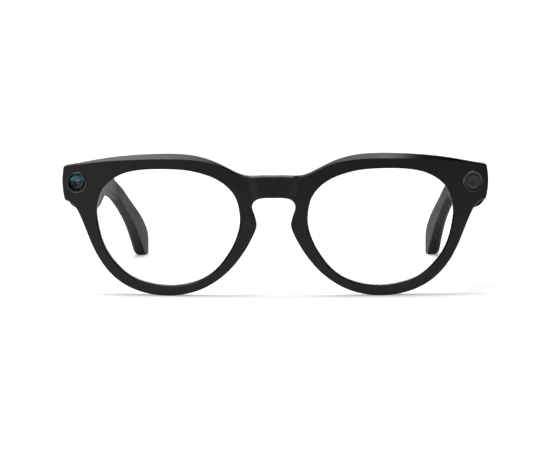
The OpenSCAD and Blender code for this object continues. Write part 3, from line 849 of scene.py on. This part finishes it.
templeShape = {
    "stationGap": 1.6,
    "topRound": 1.7,
    "innerRound": 1.0,
    "lowOuterRound": {-1: 8.6, 1: 6.0},   # at the hinge, easing to 2.4 behind the hollow part
    "coverFront": 34.0,
    "coverBack": 88.0,
    "coverRim": 0.9,
    "coverThickness": 1.2,
    "hollowFront": 35.0,
    "hollowBack": 86.0,
    "wall": 1.3,
    "lowInnerRound": 0.7,
    "lowOuterBack": 2.4,
    "easeFrom": 55,
    "easeTo": 95,
    "tipLength": 2.6,
    "tipInset": 0.7,
    "fitGap": 0.07,
    "hingeCut": ((61.5, 22, 33.95), (66.05, 33.05, 42.05)),
    "hingeBore": (2.0, 33.2, 42.8),        # radius, low and high
    "speaker": (69.8, 74.0),
    "slotPitch": 2.0,
    "slotRound": 0.5,
    "slotHalf": 0.35,
    "slotX": (69.2, 71.4),
    "slotZ": (27, 33.8),
    "microphone": (70, 49, 0.45, 27, 33.6),    # place, radius, low and high
    "buttonWell": (70, 42, 1.82, 39.6, 48),
    "sliderSlot": ((60, 37.6, 35.9), (70, 43.2, 38.1)),
}


def templeSection(y):
    z0, z1 = max(stationValue(templeLow, y), 0), stationValue(templeTop, y)
    return stationValue(templeInner, y), stationValue(templeOuter, y), z0, z1


def templeBody(side):
    s = templeShape
    lowRound = s["lowOuterRound"][side]
    front, back = glasses["templeFront"], glasses["templeBack"]
    count = int((back - front) / s["stationGap"])
    stops = [(front, 0.42), (front + 0.07, 0.18), (front + 0.2, 0.06), (front + 0.42, 0)]
    start, end = stops[-1][0], back - s["tipLength"]
    stops += [(start + (end - start) * i / count, 0) for i in range(1, count + 1)]
    stops += [(end + s["tipLength"] * math.sin(math.radians(a)),
               s["tipInset"] * (1 - math.cos(math.radians(a)))) for a in (15, 30, 45, 60, 72, 82, 90)]
    rings = []
    for y, inset in stops:
        x0, x1, z0, z1 = templeSection(y)
        lowOuter = lowRound + (s["lowOuterBack"] - lowRound) * easeStep(s["easeFrom"], s["easeTo"], y)
        corners = (s["lowInnerRound"], lowOuter, s["topRound"], s["innerRound"])
        section = roundedSection(x0, x1, z0, z1, corners, inset, 7, 4)
        rings.append([spot(x, y, z) for x, z in section])
    return loftRings(rings)


def templePrism(y0, y1, lowIn, highIn, near, far):
    # four-sided space that follows the temple; near and far give x from its two sides
    count = max(int((y1 - y0) / 2), 1)
    rings = []
    for i in range(count + 1):
        y = y0 + (y1 - y0) * i / count
        x0, x1, z0, z1 = templeSection(y)
        a, b = near(x0, x1), far(x0, x1)
        rings.append([spot(a, y, z0 + lowIn), spot(b, y, z0 + lowIn),
                      spot(b, y, z1 - highIn), spot(a, y, z1 - highIn)])
    return loftRings(rings)


def upright(x, y, radius, z0, z1, steps=48, stretch=0.0):
    # standing cylinder, or a pill when stretched along y
    rings = []
    for z in (z0, z1):
        ring = []
        for k in range(steps):
            a = 2 * math.pi * k / steps
            shift = stretch if math.sin(a) > 0 else -stretch
            ring.append(spot(x + radius * math.cos(a), y + radius * math.sin(a) + shift, z))
        rings.append(ring)
    return loftRings(rings)


for side, name in ((-1, "right"), (1, "left")):
    s = templeShape

    def sided(solid):
        return solid if side > 0 else mirrored(solid)

    shell = newPiece(name + "Temple", *sided(templeBody(side)), stuff["templePlastic"], 36)
    cover = newPiece(name + "TempleCover", *sided(templeBody(side)), stuff["coverPlastic"], 36)
    gap = s["fitGap"]
    cut(shell, sided(templePrism(s["coverFront"], s["coverBack"], s["coverRim"] - gap,
                                 s["coverRim"] - gap, lambda a, b: a - 2,
                                 lambda a, b: a + s["coverThickness"] + 0.05)))
    cut(shell, sided(templePrism(s["hollowFront"], s["hollowBack"], s["wall"], s["wall"],
                                 lambda a, b: a + 0.6, lambda a, b: b - s["wall"])))
    cut(shell, sided(upright(glasses["hingeX"], glasses["hingeY"], *s["hingeBore"], 64)))
    cut(shell, sided(boxSolid(*s["hingeCut"])))
    speakerX, speakerY = s["speaker"]
    for i in range(-2, 3):
        y = speakerY + s["slotPitch"] * i
        cut(shell, sided(upright(speakerX, y, s["slotRound"], *s["slotZ"], 24)))
        cut(shell, sided(boxSolid((s["slotX"][0], y - s["slotHalf"], s["slotZ"][0]),
                                  (s["slotX"][1], y + s["slotHalf"], s["slotZ"][1]))))
    cut(shell, sided(upright(*s["microphone"], 24)))
    if side < 0:
        cut(shell, sided(upright(*s["buttonWell"], 48, 3.0)))
    cut(cover, sided(templePrism(s["coverFront"] + gap, s["coverBack"] - gap, s["coverRim"],
                                 s["coverRim"], lambda a, b: a - 2,
                                 lambda a, b: a + s["coverThickness"])), "INTERSECT")
    if side > 0:
        cut(cover, boxSolid(*s["sliderSlot"]))
    for piece, slot, node in ((shell, "temple_plastic", "_temple_shell"),
                              (cover, "cover_plastic", "_temple_cover")):
        tidyMesh(piece.data, 36)
        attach(piece, name + "_temple")
        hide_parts(name + node)
print("temples made")


def pillSolid(x, y, stretch, levels, steps=64):
    # stacked pill outlines; levels are (radius, z)
    rings = []
    for radius, z in levels:
        ring = []
        for k in range(steps):
            a = 2 * math.pi * (k + 0.5) / steps
            shift = stretch if math.sin(a) > 0 else -stretch
            ring.append(spot(x + radius * math.cos(a), y + radius * math.sin(a) + shift, z))
        rings.append(ring)
    return loftRings(rings)


buttonShape = {
    "place": (-70, 42),
    "top": 43.6,
    "stretch": 3.0,
    # radius, then height from the top
    "cap": [(1.55, -1.15), (1.7, -1.05), (1.7, 0.2), (1.66, 0.34), (1.55, 0.44), (1.38, 0.49),
            (1.1, 0.5), (0.95, 0.47), (0.7, 0.42), (0.3, 0.4)],
    "stem": [(0.8, -1.9), (0.8, -1.1)],
}
x, y = buttonShape["place"]
cap, stem = ([(r, buttonShape["top"] + h) for r, h in buttonShape[part]] for part in ("cap", "stem"))
buttonSolid = joined(pillSolid(x, y, buttonShape["stretch"], cap), pillSolid(x, y, 0.0, stem, 32))
button = newPiece("captureButton", *buttonSolid, stuff["templePlastic"], 40)
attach(button, "capture_button")
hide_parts("capture_button")


def sliderKnob():
    # small knob with three finger ridges, on its sliding plate
    sections = []
    profile = [(38.0, 0.3), (38.12, 0.1), (38.3, 0)]
    for c in (38.75, 39.5, 40.25):
        profile += [(c - 0.22, 0), (c - 0.1, -0.28), (c + 0.1, -0.28), (c + 0.22, 0)]
    profile += [(40.7, 0), (40.88, 0.1), (41.0, 0.3)]
    for y, dip in profile:
        ring = roundedSection(63.95 + dip, 66.8, 36.1, 37.9, (0.3, 0.1, 0.1, 0.3), 0, 3, 2)
        sections.append([spot(x, y, z) for x, z in ring])
    plate = [[spot(x, y, z) for x, z in roundedSection(66.3, 66.8, 35.1, 38.9, (0.15,) * 4, 0, 3, 2)]
             for y in (37.2, 41.8)]
    return joined(loftRings(sections), loftRings(plate))


slider = newPiece("powerSlider", *sliderKnob(), stuff["templePlastic"], 40)
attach(slider, "power_slider")
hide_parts("power_slider")
print("controls made")


# these pieces keep their CAD shape

finishes = {
    "steel": ("right_hinge_bracket", "left_hinge_bracket", "right_hinge_leaf", "left_hinge_leaf"),
    "screwSteel": ("right_bracket_screws", "left_bracket_screws", "right_leaf_screws",
                   "left_leaf_screws", "right_hinge_pin", "left_hinge_pin"),
    "gold": ("charge_pads",),
    "board": ("charge_board", "camera_sensor", "main_board", "battery_board"),
    "whiteBoard": ("light_board",),
    "flex": ("front_flex", "touch_sensor", "wifi_antenna"),
    "shieldMetal": ("chip_shield", "right_microphone", "left_microphone"),
    "foil": ("battery",),
    "innerBlack": ("right_speaker", "left_speaker", "button_switch", "slider_switch"),
    "mesh": ("right_speaker_mesh", "left_speaker_mesh"),
}
for finish, names in finishes.items():
    for name in names:
        mesh = nodes[name].data
        mesh.materials.clear()
        mesh.materials.append(stuff[finish])
print("CAD pieces finished")


studio = {
    "floorSize": 12.0,
    "floorGlow": 0.34,    # evens the floor out a long way from the lights
    "backdropY": 1.6,
    "backdropRise": 1.6,
    "curve": 0.6,
    "curveSteps": 16,
    # name, place, aim, size in metres, watts
    "lamps": [("topStrip", (-0.18, 0.02, 1.0), (-0.18, 0.02, 0), (0.87, 0.3), 5.9),
              ("floorSoftbox", (-0.4, 0.15, 1.3), (-0.2, 0.05, 0), (1.5, 1.5), 9),
              ("leftCard", (-0.84, -0.93, 0.27), (-0.07, -0.06, 0.04), (0.9, 0.28), 4.0),
              ("backWash", (0.0, 0.6, 1.3), (0, 1.5, 0.3), (2.6, 0.8), 6)],
    "airColour": (0.9, 0.92, 0.95, 1),
    "airStrength": 0.04,
}


def makeFloor():
    # floor that sweeps up behind the glasses in one curve
    s = studio
    path = [(-s["floorSize"], 0.0), (s["backdropY"] - s["curve"], 0.0)]
    for k in range(1, s["curveSteps"] + 1):
        a = math.pi / 2 * k / s["curveSteps"]
        path.append((s["backdropY"] - s["curve"] + s["curve"] * math.sin(a),
                     s["curve"] * (1 - math.cos(a))))
    path.append((s["backdropY"], s["backdropRise"]))
    verts, faces = [], []
    for y, z in path:
        verts += [(-s["floorSize"], y, z), (s["floorSize"], y, z)]
    for i in range(len(path) - 1):
        faces.append((2 * i, 2 * i + 1, 2 * i + 3, 2 * i + 2))
    pale = addGrain(newMaterial("paleFloor", {"Specular IOR Level": 0.1,
                                              "Emission Color": (1, 1, 1, 1),
                                              "Emission Strength": s["floorGlow"]}),
                    (0.93, 0.93, 0.93), (0.95, 0.95, 0.95), 2, (0.85, 0.9), 8, 40, 0.00005)
    pale.cycles.emission_sampling = "NONE"    # the glow is even, so it needs no lamp rays
    floor = newPiece("floor", verts, faces, pale, 60)


def areaLight(name, place, aim, size, power):
    lamp = bpy.data.lights.new(name, "AREA")
    lamp.shape = "RECTANGLE"
    lamp.size, lamp.size_y = size
    lamp.energy = power
    holder = bpy.data.objects.new(name, lamp)
    scene.collection.objects.link(holder)
    holder.location = place
    holder.rotation_euler = (Vector(aim) - Vector(place)).to_track_quat("-Z", "Y").to_euler()


makeFloor()
for lamp in studio["lamps"]:
    areaLight(*lamp)

world = bpy.data.worlds.new("studioAir")
world.use_nodes = True
air = world.node_tree.nodes["Background"]
air.inputs["Color"].default_value = studio["airColour"]
air.inputs["Strength"].default_value = studio["airStrength"]
scene.world = world
scene.view_settings.view_transform = "Standard"

camera = bpy.data.objects.new("camera", bpy.data.cameras.new("camera"))
scene.collection.objects.link(camera)
scene.camera = camera
camera.location = spot(*shot["eye"])
look = (spot(*shot["aim"]) - camera.location).to_track_quat("-Z", "Y").to_matrix().to_4x4()
camera.matrix_world = (Matrix.Translation(camera.location) @ look
                       @ Matrix.Rotation(math.radians(shot["roll"]), 4, "Z"))
camera.data.lens = shot["lens"]
camera.data.clip_start = 0.01
print("studio made")
